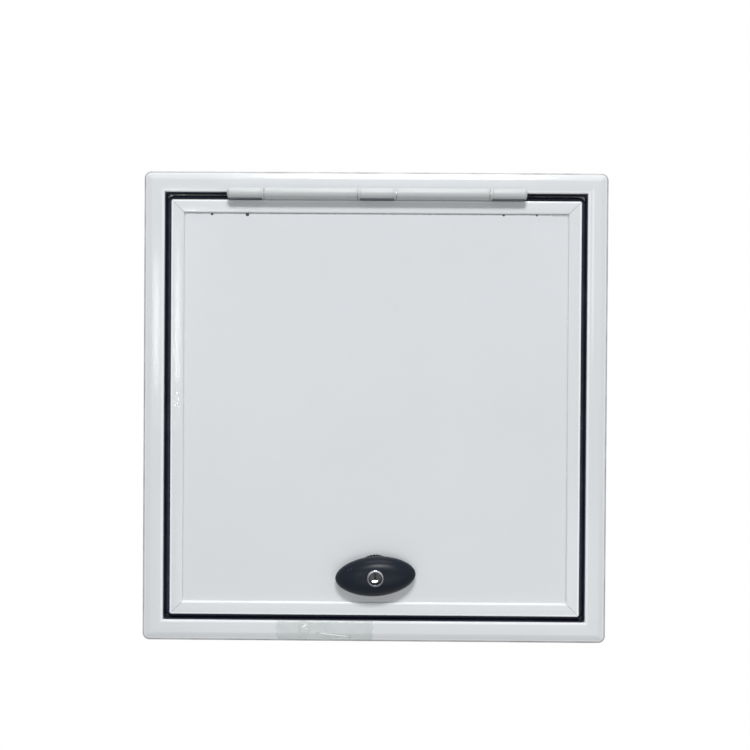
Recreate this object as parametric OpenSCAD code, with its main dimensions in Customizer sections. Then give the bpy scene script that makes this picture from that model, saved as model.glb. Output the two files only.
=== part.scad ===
// Camper hatch door: a top-hinged white aluminium access hatch with an oval
// turn handle. X runs to the right, +Y into the wall and +Z up. The wall's
// outer surface is the plane Y = 0, behind the flange of the surround.

/* [Surround] */
// Width of the surround over its flange
frame_w = 400; // [360:1:460]
// Height of the surround over its flange
frame_h = 405; // [360:1:460]
// Width of the flange that covers the edge of the wall
flange_w = 17.8; // [16:0.1:20]
// Height of the flange over the wall
crown = 4; // [3.5:0.1:5]
// Width of the flange's sloped outer part
slope_w = 7; // [6:0.1:9]
// Angle of that slope
slope_deg = 15; // [12:0.5:17]
// Rounding of the flange's outer edge
edge_r = 1.3; // [1:0.1:1.5]
// Rounding of the flange's inner edge
lip_r = 1.4; // [1:0.1:1.8]
// Wall thickness of the surround's extrusion
frame_wall = 1.6; // [1.4:0.1:2]
// Depth of the seal shelf's front behind the wall surface
shelf_y = 9; // [9:0.1:9.4]
// Width of the seal shelf
shelf_w = 7.7; // [7.4:0.1:7.9]
// Depth of the surround behind the wall surface
skirt_y = 24; // [22:0.5:40]
// Radius of the surround's outer corners
frame_corner_r = 6; // [4:0.5:9]
// Radius of the screw holes in the skirt
screw_r = 2.1; // [1.8:0.1:2.4]
// Distance between the two screw holes of each side
screw_span = 240; // [180:5:280]
// Depth of the screw holes behind the wall surface
screw_y = 17.4; // [16.5:0.1:18]

/* [Door] */
// Gap between the surround and the left edge of the door
gap_left = 5.7; // [5:0.1:6]
// Gap between the surround and the right edge of the door
gap_right = 5.1; // [5:0.1:6]
// Gap between the surround and the top edge of the door
gap_top = 6.5; // [6.4:0.1:6.6]
// Gap between the surround and the bottom edge of the door
gap_bottom = 5; // [4.8:0.1:6]
// Height of the door's face over the wall surface
door_proud = 3.5; // [3:0.1:3.8]
// Thickness of the door
door_t = 14; // [13.6:0.1:14.4]
// Visible width of the edge trim
trim_w = 11.3; // [10.8:0.1:13]
// Overhang of the edge trim beyond the door's core
trim_lap = 7.4; // [7:0.1:7.6]
// Depth of the edge trim's hollow overhang
trim_edge = 4.4; // [4:0.1:4.6]
// Wall thickness of the edge trim
trim_wall = 1.4; // [1.2:0.1:1.5]
// Rounding of the edge trim's inner lip, down to the skin
trim_lip_r = 1.5; // [0.6:0.1:1.5]
// Radius of the door's outer corners
door_corner_r = 1.6; // [0.8:0.1:2]
// Thickness of each aluminium skin
skin_t = 0.8; // [0.6:0.1:1]

/* [Seal] */
// Width of the rubber bulb
seal_w = 6; // [5.6:0.1:6]
// Radius of the seal's corners, at the middle of the bulb
seal_corner_r = 5; // [4:0.5:14]

/* [Hinge] */
// Radius of the hinge barrel
barrel_r = 4.7; // [4.4:0.05:4.75]
// Height of the pin over the wall surface
barrel_proud = 10; // [9.6:0.1:11]
// Radius of the hinge pin
pin_r = 2.5; // [2:0.1:2.8]
// Clearance all round the pin in the door's knuckles
pin_play = 0.05; // [0.03:0.01:0.08]
// Length of each outer knuckle, on the surround
end_knuckle = 28; // [20:0.5:34]
// Length of the middle knuckle, on the surround
middle_knuckle = 29; // [20:0.5:34]
// Length of each knuckle on the door
door_knuckle = 79.3; // [60:0.1:84]
// Space between two knuckles
knuckle_gap = 2.4; // [2.2:0.1:3]
// Thickness of the washer in that space
washer_t = 2; // [1.6:0.1:2]
// Thickness of the hinge leaves
leaf_t = 1.5; // [1.2:0.1:1.5]
// Height of the domed caps on the pin's ends
cap_dome = 1.8; // [1:0.1:2.4]
// Offset of the hinge from the surround's middle
hinge_x = 0.7; // [0:0.1:4]

/* [Lock] */
// Height of the lock's axis over the door's bottom edge
lock_rise = 35; // [33:0.5:40]
// Offset of the lock's axis from the surround's middle
lock_x = 1.5; // [-20:0.5:20]
// Length of the oval handle
handle_l = 69.2; // [60:0.2:76]
// Width of the oval handle
handle_w = 34.2; // [28:0.2:36]
// Turn of the handle from level, right end up
handle_tilt = 4.2; // [0:0.1:6]
// Space between the door skin and the handle's wings
finger_gap = 5; // [5:0.1:8]
// Height of the handle's front over the door skin
handle_top = 19.4; // [18:0.1:24]
// Radius of the round base behind the handle
base_r = 17.7; // [17:0.1:20]
// Height of the round base over the door skin
base_t = 4.4; // [4:0.1:4.6]
// Number of grip notches round the base's rim
rim_notches = 40; // [24:2:48]
// Radius of the threaded barrel through the door
housing_r = 11; // [10.5:0.1:12]
// Radius of the handle's stem
stem_r = 8; // [7.5:0.1:8.5]
// Turn between open and locked
lock_turn = 94; // [90:1:95]
// Reach of the cam from the lock's axis
cam_reach = 37; // [36:0.1:38]

/* [Hidden] */

// Colours of the finishes
white_paint = "#e4e7e8";
hinge_paint = "#cdd0d2";
white_nylon = "#dcdfe0";
black_rubber = "#20242c";
black_nylon = "#1f242e";
bare_steel = "#9a9da0";
chrome = "#b9bdc2";
barrel_steel = "#8d9095";
pale_foam = "#e6dfc4";

// Overrun of cutting shapes, and overlap of shapes that are joined
over = 1;
weld = 0.1;
mitre_reach = 40;
cutter_t = 100;

// The origin is the middle of the bottom member's back face
neck_back = flange_w - frame_wall;
z_low = -neck_back / 2;
z_high = z_low + frame_h;
z_mid = (z_low + z_high) / 2;
edge_y = -crown + (slope_w - edge_r) * tan(slope_deg) + edge_r / cos(slope_deg);
groove_w = 1.2;
groove_d = 0.5;
groove_at = [2.2, 4.8, neck_back - 4.8, neck_back - 2.2];

// Edges and depths of the door
door_left = -frame_w / 2 + flange_w + gap_left;
door_right = frame_w / 2 - flange_w - gap_right;
door_low = z_low + flange_w + gap_bottom;
door_high = z_high - flange_w - gap_top;
door_w = door_right - door_left;
door_h = door_high - door_low;
door_cx = (door_left + door_right) / 2;
door_cz = (door_low + door_high) / 2;
face_y = -door_proud;
edge_back_y = face_y + trim_edge;
skin_step = 1.6;
skin_y = face_y + skin_step;
back_y = face_y + door_t;
inner_face_y = back_y - skin_step;
trim_back_lip = 17;
trim_round = 1.2;
core_gap = 0.2;
core_inset = trim_lap + trim_wall + core_gap;
seal_gap = 0.2;

// Hinge axis, just under the top member, in front of the flange
pin_y = -barrel_proud;
leaf_up = 1.8;
pin_z = z_high - flange_w - leaf_up;
leaf_y = pin_y + barrel_r + 0.6;
frame_leaf_back = 6.5;
door_leaf_leg = 7;
web_y = pin_y + 1.4;
washer_r = barrel_r - 0.2;
door_leaf_top = barrel_r - leaf_t;
hinge_l = 2 * end_knuckle + 2 * door_knuckle + middle_knuckle + 4 * knuckle_gap;
hinge_lead = hinge_x - hinge_l / 2;
knuckle_l = [end_knuckle, door_knuckle, middle_knuckle, door_knuckle, end_knuckle];
knuckle_x = [for (i = [0:4]) hinge_lead + sum(knuckle_l, i) + i * knuckle_gap];

// Lock axis and depths, counted forwards from the door's outer skin
lock_z = door_low + lock_rise;
gasket_t = 0.6;
gasket_inset = 0.8;
rim_t = 2.6;
rim_slope = 1.6;
base_round = 0.9;
notch_r = 0.8;
notch_depth = 0.5;
housing_back = -16.5;
housing_gap = 0.2;
nut_washer_t = 1.2;
nut_washer_r = 15;
nut_t = 4;
nut_r = 15.6;
nut_y = inner_face_y + nut_washer_t;
cam_y = 14.9;
stem_square = 8;
cam_t = 2;
cam_step = 3.1;
cam_bend = 18.5;
cam_w = 12;
cam_hub_r = 8.5;
cam_screw_r = 2.5;
cam_screw_l = 6;
key_r = 5.2;
key_face = handle_top - 4.2;
key_back = 3.6;
key_end_gap = 0.2;
keyway = [1.6, 7.2, 4];
ring_r = 7.25;
ring_inner_r = key_r + 0.25;
ring_seat = handle_top - 3.6;
ring_top = handle_top + 0.3;
ring_bevel = 0.9;
play = 0.05;

// Rings of the handle from back to front: height and share of the full oval
handle_belly = 7.2;
handle_nose = 0.14;
handle_rings = concat(
    [for (a = [60:-15:0]) [handle_belly - (handle_belly - finger_gap) * sin(a) / sin(60),
                           pow(cos(a), 0.45)]],
    [for (a = [12:12:72]) [handle_belly + (handle_top - handle_belly) * sin(a), cos(a)]],
    [[handle_top, handle_nose]]);
handle_power = 1.9;
handle_sides = 56;

function sum(list, n) = n == 0 ? 0 : list[n - 1] + sum(list, n - 1);
function spow(v, p) = sign(v) * pow(abs(v), p);

// Points of an arc of radius r round c, from angle a to angle b
function arc(c, r, a, b) = [for (t = [a:(b - a) / 6:b]) c + r * [cos(t), sin(t)]];

// Section of the surround: across from the outer edge, and into the wall
module frame_section() {
    edge = arc([edge_r, edge_y], edge_r, 180, 270 - slope_deg);
    lip = arc([flange_w - lip_r, lip_r - crown], lip_r, 270, 360);
    inside = [[flange_w, shelf_y], [flange_w + shelf_w, shelf_y],
              [flange_w + shelf_w, shelf_y + frame_wall], [flange_w, shelf_y + frame_wall],
              [flange_w, skirt_y], [neck_back, skirt_y], [neck_back, 0]];
    grooves = [for (i = [3:-1:0]) each [
        [groove_at[i] + groove_w / 2, 0], [groove_at[i] + groove_w / 2, -groove_d],
        [groove_at[i] - groove_w / 2, -groove_d], [groove_at[i] - groove_w / 2, 0]]];
    polygon(concat(edge, [[slope_w, -crown]], lip, inside, grooves, [[0, 0]]));
}

// Section of the door's edge trim, with its hollow overhang
module trim_section() {
    curve = arc([trim_round, face_y + trim_round], trim_round, 180, 270);
    side = trim_lap + trim_wall;
    lip = arc([trim_w - trim_lip_r, face_y + trim_lip_r], trim_lip_r, 270, 360);
    rest = [[trim_w, skin_y], [side, skin_y],
            [side, inner_face_y], [trim_back_lip, inner_face_y], [trim_back_lip, back_y],
            [trim_lap, back_y], [trim_lap, edge_back_y], [0, edge_back_y]];
    difference() {
        polygon(concat(curve, lip, rest));
        translate([trim_wall, face_y + trim_wall])
            square([trim_lap - trim_wall, trim_edge - 2 * trim_wall]);
    }
}

// A straight length of a section along X, cut at 45 degrees at both ends.
// The section's first axis points inwards, along +Z, and its second along +Y.
module mitred(length) {
    half = length / 2;
    intersection() {
        rotate([0, -90, 0]) linear_extrude(length, center = true) children();
        rotate([90, 0, 0]) linear_extrude(cutter_t, center = true)
            polygon([[-half, 0], [half, 0],
                     [half - mitre_reach, mitre_reach], [mitre_reach - half, mitre_reach]]);
    }
}

// Puts a bottom length on one of the four sides of a w by h rectangle
module on_side(side, w, h) {
    if (side == "bottom") translate([0, 0, -h / 2]) children();
    if (side == "top") translate([0, 0, h / 2]) rotate([0, 180, 0]) children();
    if (side == "left") translate([-w / 2, 0, 0]) rotate([0, 90, 0]) children();
    if (side == "right") translate([w / 2, 0, 0]) rotate([0, -90, 0]) children();
}

// What a rounded corner takes off the square one, at the origin's lower left
module corner_waste(r) {
    rotate([90, 0, 0]) linear_extrude(cutter_t, center = true) difference() {
        translate([-over, -over]) square(r + over);
        translate([r, r]) circle(r, $fn = 48);
    }
}

// A mitred length whose two outer corners are rounded
module rounded_member(length, r) {
    difference() {
        mitred(length) children();
        translate([-length / 2, 0, 0]) corner_waste(r);
        translate([length / 2, 0, 0]) mirror([1, 0, 0]) corner_waste(r);
    }
}

module screw_holes() {
    for (s = [-1, 1])
        translate([s * screw_span / 2, screw_y, neck_back - over])
            cylinder(r = screw_r, h = frame_wall + 2 * over, $fn = 32);
}

module frame_member(side) {
    length = side == "top" || side == "bottom" ? frame_w : frame_h;
    color(white_paint) translate([0, 0, z_mid]) on_side(side, frame_w, frame_h) difference() {
        rounded_member(length, frame_corner_r) frame_section();
        screw_holes();
    }
}

// Section of the seal: a half-round bulb on a square foot
module seal_bulb() {
    bulb_y = shelf_y - seal_w / 2;
    bulb = arc([0, bulb_y], seal_w / 2, 180, 360);
    polygon(concat(bulb, [[seal_w / 2, shelf_y], [-seal_w / 2, shelf_y]]));
}

module seal_run(length) {
    rotate([0, -90, 0]) linear_extrude(length, center = true) seal_bulb();
}

module seal_corner() {
    rotate([-90, 0, 0]) rotate_extrude(angle = 90, $fn = 48)
        translate([seal_corner_r, 0]) seal_bulb();
}

module weather_seal() {
    inset = flange_w + seal_gap + seal_w / 2;
    x = frame_w / 2 - inset;
    low = z_low + inset;
    high = z_high - inset - leaf_t;
    r = seal_corner_r;
    color(black_rubber) {
        for (z = [low, high]) translate([0, 0, z]) seal_run(2 * (x - r));
        for (s = [-1, 1]) translate([s * x, 0, (low + high) / 2])
            rotate([0, 90, 0]) seal_run(high - low - 2 * r);
        for (i = [0:3]) {
            sx = i == 0 || i == 3 ? 1 : -1;
            cz = i < 2 ? low + r : high - r;
            translate([sx * (x - r), 0, cz]) rotate([0, 90 * i, 0]) seal_corner();
        }
    }
}

module along_x(x, length, r) {
    translate([x, pin_y, pin_z]) rotate([0, 90, 0]) cylinder(r = r, h = length, $fn = 64);
}

// Leaf under the top member, with the three fixed knuckles
module hinge_frame_leaf() {
    color(hinge_paint) difference() {
        union() {
            translate([hinge_lead, leaf_y, pin_z + leaf_up - leaf_t])
                cube([hinge_l, frame_leaf_back - leaf_y, leaf_t]);
            for (i = [0, 2, 4]) {
                along_x(knuckle_x[i], knuckle_l[i], barrel_r);
                translate([knuckle_x[i], pin_y + pin_r, pin_z + leaf_up - leaf_t])
                    cube([knuckle_l[i], leaf_y - pin_y - pin_r + weld, leaf_t]);
            }
        }
        along_x(hinge_lead - over, hinge_l + 2 * over, pin_r);
    }
}

// Leaf over the door's top edge, hooked down behind the trim
module hinge_door_leaf() {
    low_z = pin_z - door_leaf_top - leaf_t;
    color(hinge_paint) difference() {
        union() {
            translate([hinge_lead, leaf_y, low_z])
                cube([hinge_l, edge_back_y + leaf_t - leaf_y, leaf_t]);
            translate([hinge_lead, edge_back_y, low_z - door_leaf_leg])
                cube([hinge_l, leaf_t, door_leaf_leg + weld]);
            for (i = [1, 3]) {
                along_x(knuckle_x[i], knuckle_l[i], barrel_r);
                translate([knuckle_x[i], web_y, low_z])
                    cube([knuckle_l[i], leaf_y - web_y + weld, leaf_t]);
            }
        }
        along_x(hinge_lead - over, hinge_l + 2 * over, pin_r + pin_play);
    }
}

module hinge_pin() {
    color(bare_steel) along_x(hinge_lead, hinge_l, pin_r);
}

// Two domed caps that close the ends of the barrel
module hinge_end_caps() {
    dome_r = (barrel_r * barrel_r + cap_dome * cap_dome) / (2 * cap_dome);
    half = asin(barrel_r / dome_r);
    dome = arc([0, cap_dome - dome_r], dome_r, 90, 90 - half);
    color(white_nylon) for (s = [-1, 1])
        translate([hinge_x + s * hinge_l / 2, pin_y, pin_z]) rotate([0, s * 90, 0])
            rotate_extrude($fn = 64) polygon(concat([[0, 0]], dome));
}

module hinge_washers() {
    color(white_nylon) for (i = [0, 2]) {
        washer(knuckle_x[i] + knuckle_l[i]);
        washer(knuckle_x[i + 2] - washer_t);
    }
}

module washer(x) {
    difference() {
        along_x(x, washer_t, washer_r);
        along_x(x - over, washer_t + 2 * over, pin_r);
    }
}

module trim_member(side) {
    length = side == "top" || side == "bottom" ? door_w : door_h;
    color(white_paint) translate([door_cx, 0, door_cz]) on_side(side, door_w, door_h)
        rounded_member(length, door_corner_r) trim_section();
}

// A sheet across the door between two depths, with the hole for the lock
module door_sheet(y, t) {
    difference() {
        translate([door_left + core_inset, y, door_low + core_inset])
            cube([door_w - 2 * core_inset, t, door_h - 2 * core_inset]);
        translate([lock_x, y - over, lock_z]) rotate([-90, 0, 0])
            cylinder(r = housing_r + housing_gap, h = t + 2 * over, $fn = 64);
    }
}

module outer_skin() {
    color(white_paint) door_sheet(skin_y, skin_t);
}

module foam_core() {
    color(pale_foam) door_sheet(skin_y + skin_t, inner_face_y - skin_y - 2 * skin_t);
}

module inner_skin() {
    color(white_paint) door_sheet(inner_face_y - skin_t, skin_t);
}

// Turns a shape drawn along +Z so that +Z points out of the door at the lock
module at_lock() {
    translate([lock_x, skin_y, lock_z]) rotate([90, 0, 0]) children();
}

module lock_gasket() {
    color(black_rubber) at_lock() difference() {
        cylinder(r = base_r - gasket_inset, h = gasket_t, $fn = 64);
        translate([0, 0, -over]) cylinder(r = housing_r, h = gasket_t + 2 * over, $fn = 64);
    }
}

// Round base with a notched rim and, through the door, its threaded barrel
module lock_base() {
    shoulder_r = base_r - rim_slope;
    color(black_nylon) at_lock() difference() {
        rotate_extrude($fn = 96) polygon([
            [stem_r + play, housing_back], [housing_r, housing_back], [housing_r, gasket_t],
            [base_r, gasket_t], [base_r, rim_t], [shoulder_r, base_t - base_round],
            [shoulder_r - 2 * base_round, base_t], [stem_r + play, base_t]]);
        for (i = [0:rim_notches - 1]) rotate(360 * i / rim_notches)
            translate([base_r - notch_depth + notch_r, 0, gasket_t - over])
                cylinder(r = notch_r, h = base_t, $fn = 24);
    }
}

// A disc or a nut on the lock's barrel, behind the door, from depth y inwards
module on_barrel(y, t, r, sides) {
    color(bare_steel) translate([lock_x, y, lock_z]) rotate([-90, 0, 0]) difference() {
        cylinder(r = r, h = t, $fn = sides);
        translate([0, 0, -over]) cylinder(r = housing_r, h = t + 2 * over, $fn = 64);
    }
}

module lock_washer() {
    on_barrel(inner_face_y, nut_washer_t, nut_washer_r, 64);
}

module lock_nut() {
    on_barrel(nut_y, nut_t, nut_r, 6);
}

function oval(a, share) = [
    share * handle_l / 2 * spow(cos(a), 2 / handle_power),
    share * handle_w / 2 * spow(sin(a), 2 / handle_power)];

module handle_shell() {
    n = handle_sides;
    m = len(handle_rings);
    points = [for (ring = handle_rings) for (i = [0:n - 1])
              concat(oval(360 * i / n, ring[1]), [ring[0]])];
    walls = [for (k = [0:m - 2]) for (i = [0:n - 1])
             [k * n + i, (k + 1) * n + i, (k + 1) * n + (i + 1) % n, k * n + (i + 1) % n]];
    back = [for (i = [0:n - 1]) i];
    front = [for (i = [n - 1:-1:0]) (m - 1) * n + i];
    polyhedron(points, concat(walls, [back, front]), convexity = 4);
}

// Oval handle with the seat of the ring and the bore of the key barrel
module turn_handle() {
    color(black_nylon) at_lock() rotate([0, 0, handle_tilt]) difference() {
        handle_shell();
        translate([0, 0, ring_seat]) cylinder(r = ring_r + play, h = handle_top, $fn = 64);
        translate([0, 0, key_back]) cylinder(r = key_r + play, h = handle_top, $fn = 64);
    }
}

// Stem of the handle, turning in the base, squared at its end for the cam
module handle_stem() {
    back = -(cam_y - skin_y);
    color(black_nylon) at_lock() rotate([0, 0, handle_tilt]) difference() {
        union() {
            translate([0, 0, back]) cylinder(r = stem_r, h = finger_gap - back, $fn = 64);
            translate([-stem_square / 2, -stem_square / 2, back - cam_t])
                cube([stem_square, stem_square, cam_t + weld]);
        }
        translate([0, 0, key_back - key_end_gap])
            cylinder(r = key_r + play, h = handle_top, $fn = 64);
        translate([0, 0, back - cam_t - over])
            cylinder(r = cam_screw_r, h = cam_screw_l + 2 + over, $fn = 32);
    }
}

// Chromed ring round the keyhole
module lock_ring() {
    color(chrome) at_lock() rotate_extrude($fn = 96) polygon([
        [ring_inner_r, ring_seat], [ring_r, ring_seat], [ring_r, ring_top - ring_bevel],
        [ring_r - ring_bevel / 3, ring_top - ring_bevel / 3],
        [ring_r - ring_bevel, ring_top], [ring_inner_r + ring_bevel / 3, ring_top],
        [ring_inner_r, ring_top - ring_bevel / 2]]);
}

// Key barrel with its keyway, sunk in the ring
module key_barrel() {
    color(barrel_steel) at_lock() rotate([0, 0, handle_tilt]) difference() {
        translate([0, 0, key_back]) cylinder(r = key_r, h = key_face - key_back, $fn = 64);
        translate([-keyway.x / 2, -keyway.y / 2, key_face - keyway.z])
            cube(keyway + [0, 0, over]);
    }
}

// Cranked cam, pointing down behind the seal shelf when the lock is closed
module lock_cam() {
    tip_y = cam_y - cam_step;
    nip = cam_t * tan(22.5);
    color(bare_steel) translate([lock_x, 0, lock_z]) rotate([0, -lock_turn, 0])
        rotate([0, 180, 0]) difference() {
            union() {
                translate([0, cam_y, 0]) rotate([-90, 0, 0])
                    cylinder(r = cam_hub_r, h = cam_t, $fn = 64);
                rotate([90, 0, 90]) linear_extrude(cam_w, center = true)
                    polygon([[cam_y, 0], [cam_y + cam_t, 0], [cam_y + cam_t, cam_bend],
                             [tip_y + cam_t, cam_bend + cam_step], [tip_y + cam_t, cam_reach],
                             [tip_y, cam_reach], [tip_y, cam_bend + cam_step - nip],
                             [cam_y, cam_bend - nip]]);
            }
            rotate([0, lock_turn - 180 - handle_tilt, 0]) translate([0, cam_y + cam_t / 2, 0])
                cube([stem_square, cam_t + 2 * over, stem_square], center = true);
        }
}

// Screw that holds the cam on the stem
module cam_screw() {
    head_r = 5.2;
    head_h = 2.5;
    color(bare_steel) translate([lock_x, cam_y + cam_t, lock_z]) rotate([-90, 0, 0])
        rotate_extrude($fn = 48) polygon([
            [0, -cam_screw_l], [cam_screw_r, -cam_screw_l], [cam_screw_r, 0], [head_r, 0],
            [head_r, 0.4 * head_h], [0.85 * head_r, 0.8 * head_h], [0.6 * head_r, head_h],
            [0, head_h]]);
}

frame_member("top");  // frame_top
frame_member("bottom");  // frame_bottom
frame_member("left");  // frame_left
frame_member("right");  // frame_right
weather_seal();
hinge_frame_leaf();
hinge_pin();
hinge_end_caps();
hinge_washers();
hinge_door_leaf();
trim_member("top");  // trim_top
trim_member("bottom");  // trim_bottom
trim_member("left");  // trim_left
trim_member("right");  // trim_right
outer_skin();
foam_core();
inner_skin();
lock_gasket();
lock_base();
lock_washer();
lock_nut();
turn_handle();
handle_stem();
lock_ring();
lock_cam();
cam_screw();
key_barrel();
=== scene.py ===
import bmesh
import bpy
import numpy as np
from mathutils import Matrix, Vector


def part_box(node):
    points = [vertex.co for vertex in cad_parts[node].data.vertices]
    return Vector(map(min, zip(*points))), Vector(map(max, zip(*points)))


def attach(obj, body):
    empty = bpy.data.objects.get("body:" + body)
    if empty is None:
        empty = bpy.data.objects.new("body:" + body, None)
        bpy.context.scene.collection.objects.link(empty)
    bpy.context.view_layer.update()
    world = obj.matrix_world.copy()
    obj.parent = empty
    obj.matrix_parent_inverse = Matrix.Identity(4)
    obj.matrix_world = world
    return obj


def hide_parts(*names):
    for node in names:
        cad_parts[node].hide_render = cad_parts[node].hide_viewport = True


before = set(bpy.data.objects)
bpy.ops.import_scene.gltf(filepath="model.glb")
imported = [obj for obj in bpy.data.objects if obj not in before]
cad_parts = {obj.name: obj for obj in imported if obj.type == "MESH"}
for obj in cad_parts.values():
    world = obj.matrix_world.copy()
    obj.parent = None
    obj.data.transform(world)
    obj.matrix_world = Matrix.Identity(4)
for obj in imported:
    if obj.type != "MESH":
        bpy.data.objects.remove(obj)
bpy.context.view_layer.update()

# Camera
# The photograph is taken from about a metre in front of the hatch, a little above
# its middle, with the camera turned and tipped by less than half a degree.
EYE = (0.0072, -0.989, 0.2307)
YAW, PITCH, ROLL = np.radians([0.421, -0.492, 0.374])
LENS = 54.9
ahead_flat = np.array([-np.sin(YAW), np.cos(YAW), 0.0])
right_flat = np.array([np.cos(YAW), np.sin(YAW), 0.0])
ahead = np.cos(PITCH) * ahead_flat + np.sin(PITCH) * np.array([0.0, 0.0, 1.0])
up_flat = np.cos(PITCH) * np.array([0.0, 0.0, 1.0]) - np.sin(PITCH) * ahead_flat
right = np.cos(ROLL) * right_flat + np.sin(ROLL) * up_flat
up = np.cos(ROLL) * up_flat - np.sin(ROLL) * right_flat
camera = bpy.data.objects.new("camera", bpy.data.cameras.new("camera"))
camera.data.sensor_width = 36.0
camera.data.lens = LENS
camera.matrix_world = Matrix(
    [[right[i], up[i], -ahead[i], EYE[i]] for i in range(3)] + [[0, 0, 0, 1]])
bpy.context.scene.collection.objects.link(camera)
bpy.context.scene.camera = camera
bpy.context.scene.view_settings.view_transform = "Standard"


# Studio
# A white paper backdrop a metre behind the hatch and a pale floor well below it. A soft
# lamp stands high in front, as the window did, with a weak one overhead, a weak one low
# in front, and a narrow one at the left that glints on the left trim.
FLOOR_Z = -0.6
BACK_Y = 1.05
PAPER_X, PAPER_TOP, FLOOR_FRONT = 3, 2.6, -3
SKY_TINT = (0.97, 0.985, 1.0, 1)


def node(tree, kind, inputs=(), **fields):
    """Adds a shader node, sets its fields, then fills each input with a value or a link."""
    made = tree.nodes.new("ShaderNode" + kind)
    for field, value in fields.items():
        setattr(made, field, value)
    for key, value in dict(inputs).items():
        if isinstance(value, bpy.types.NodeSocket):
            tree.links.new(value, made.inputs[key])
        else:
            made.inputs[key].default_value = value
    return made


def maths(tree, operation, *values, clamp=False):
    """A Math node's result."""
    return node(tree, "Math", enumerate(values), operation=operation, use_clamp=clamp).outputs[0]


def empty_tree(owner):
    """Turns nodes on for a material or world and takes the default ones out."""
    owner.use_nodes = True
    owner.node_tree.nodes.clear()
    return owner.node_tree


def seen_ray(tree):
    """One where a ray comes from the camera, a reflection or clear material, else nought."""
    path = node(tree, "LightPath")
    seen = maths(tree, "MAXIMUM", path.outputs["Is Camera Ray"], path.outputs["Is Glossy Ray"])
    return maths(tree, "MAXIMUM", seen, path.outputs["Is Transmission Ray"])


def paper(name, glow, tone):
    """Matt paper of a tone that glows white by a share where it is seen."""
    material = bpy.data.materials.new(name)
    tree = empty_tree(material)
    matt = node(tree, "BsdfDiffuse", {"Color": (tone, tone, tone, 1)})
    light = node(tree, "Emission", {"Color": (1, 1, 1, 1), "Strength": 1.0})
    share = maths(tree, "MULTIPLY", seen_ray(tree), glow)
    mixed = node(tree, "MixShader", {0: share, 1: matt.outputs[0], 2: light.outputs[0]})
    node(tree, "OutputMaterial", {0: mixed.outputs[0]})
    return material


def sheet_of_paper(name, corners, material):
    """A flat four-cornered sheet that isn't part of the object."""
    mesh = bpy.data.meshes.new(name)
    mesh.from_pydata(corners, [], [(0, 1, 2, 3)])
    mesh.materials.append(material)
    sheet = bpy.data.objects.new(name, mesh)
    bpy.context.scene.collection.objects.link(sheet)


far_left, far_right = (-PAPER_X, BACK_Y, FLOOR_Z), (PAPER_X, BACK_Y, FLOOR_Z)
sheet_of_paper("backdrop", [far_left, far_right, (PAPER_X, BACK_Y, PAPER_TOP),
                            (-PAPER_X, BACK_Y, PAPER_TOP)], paper("backdrop_paper", 1.0, 0.86))
sheet_of_paper("floor", [(-PAPER_X, FLOOR_FRONT, FLOOR_Z), (PAPER_X, FLOOR_FRONT, FLOOR_Z),
                         far_right, far_left], paper("floor_paper", 0.75, 0.35))

world = bpy.data.worlds.new("room")
bpy.context.scene.world = world
tree = empty_tree(world)
height = node(tree, "SeparateXYZ", {0: node(tree, "TexCoord").outputs["Generated"]}).outputs["Z"]
level = node(tree, "MapRange", {"Value": height, "From Min": -0.6, "From Max": 1.0,
                                "To Min": 0.26, "To Max": 0.24})
lit = node(tree, "Background", {"Color": SKY_TINT, "Strength": level.outputs[0]})
white = node(tree, "Background", {"Color": (1, 1, 1, 1), "Strength": 1.0})
mixed = node(tree, "MixShader", {0: seen_ray(tree), 1: lit.outputs[0], 2: white.outputs[0]})
node(tree, "OutputWorld", {0: mixed.outputs[0]})


def softbox(name, place, target, width, height, watts):
    """A rectangular lamp at a place, its face towards a target."""
    lamp = bpy.data.lights.new(name, "AREA")
    lamp.shape = "RECTANGLE"
    lamp.size, lamp.size_y, lamp.energy = width, height, watts
    box = bpy.data.objects.new(name, lamp)
    aim = Matrix.Translation(place).to_translation() - Matrix.Translation(target).to_translation()
    box.matrix_world = Matrix.Translation(place) @ aim.to_track_quat("Z", "Y").to_matrix().to_4x4()
    box.visible_camera = False
    bpy.context.scene.collection.objects.link(box)


softbox("window", (0.1, -2.56, 2.49), (0.07, 0, 0.3), 0.9, 0.51, 74)
softbox("ceiling", (0, -0.06, 2.3), (0, -0.06, 0.2), 1.2, 0.8, 15)
softbox("low_fill", (0.25, -1.25, -0.3), (0.05, 0, 0.05), 1.3, 0.5, 2.6)
softbox("left_strip", (-0.53, -2.0, 0.335), (-0.53, 0, 0.2), 0.02, 0.3, 1.9)


# Surround
# Four mitred lengths of one aluminium extrusion, welded and filled at the corners and
# coated white as one piece: a flange that slopes down to its rounded edge, a shelf for the
# seal and a skirt through the wall with two screw holes a side.
FRAME_W = 0.4
FLANGE_W = 0.0178
CROWN = 0.004
SLOPE_W = 0.007
SLOPE = np.radians(15)
SLOPE_SWELL = 0.00013
EDGE_R = 0.0013
LIP_R = 0.0014
WALL_T = 0.0016
SHELF_Y = 0.009
SHELF_W = 0.0077
SKIRT_Y = 0.024
CORNER_R = 0.006
GROOVE_W, GROOVE_D = 0.0012, 0.0005
GROOVE_AT = (0.0022, 0.0048)
SCREW_SPAN = 0.24
SCREW_R = 0.0021
SCREW_Y = 0.0174
# Place of the pale streak painted on the right member as a highlight.
STREAK_X, STREAK_LOW, STREAK_HIGH = 0.1867, (0.22, 0.28), (0.38, 0.386)
SIDES = ("bottom", "right", "top", "left")
MERGE = 2e-6


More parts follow.
